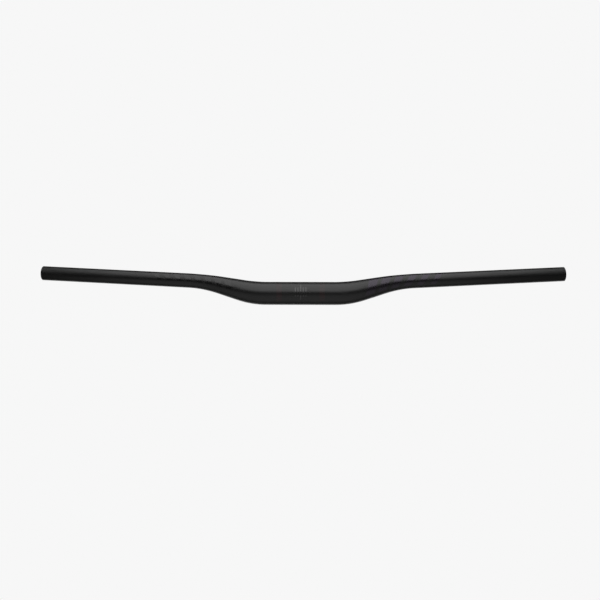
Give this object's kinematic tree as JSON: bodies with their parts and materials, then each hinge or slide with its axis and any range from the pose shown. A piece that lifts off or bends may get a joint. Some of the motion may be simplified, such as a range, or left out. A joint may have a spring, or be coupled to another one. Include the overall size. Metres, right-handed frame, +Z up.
{
  "type": "riser handlebar",
  "caption": "Riser handlebar: a hollow one-piece tube with a thick clamp zone, tapering double bends that rise and sweep back, and straight grip zones with open ends.",
  "frame": {"origin": "middle of the clamp zone, on its axis", "axes": "+X along the clamp zone's axis, to the right as seen from in front of the bar; +Y back towards the rider, the way the grips sweep; +Z up, the way the bar rises"},
  "size_m": [0.8232, 0.0759, 0.0668],
  "materials": {
    "laminate": "satin"
  },
  "bodies": {
    "root": {"handlebar": "laminate"}
  },
  "joints": []
}
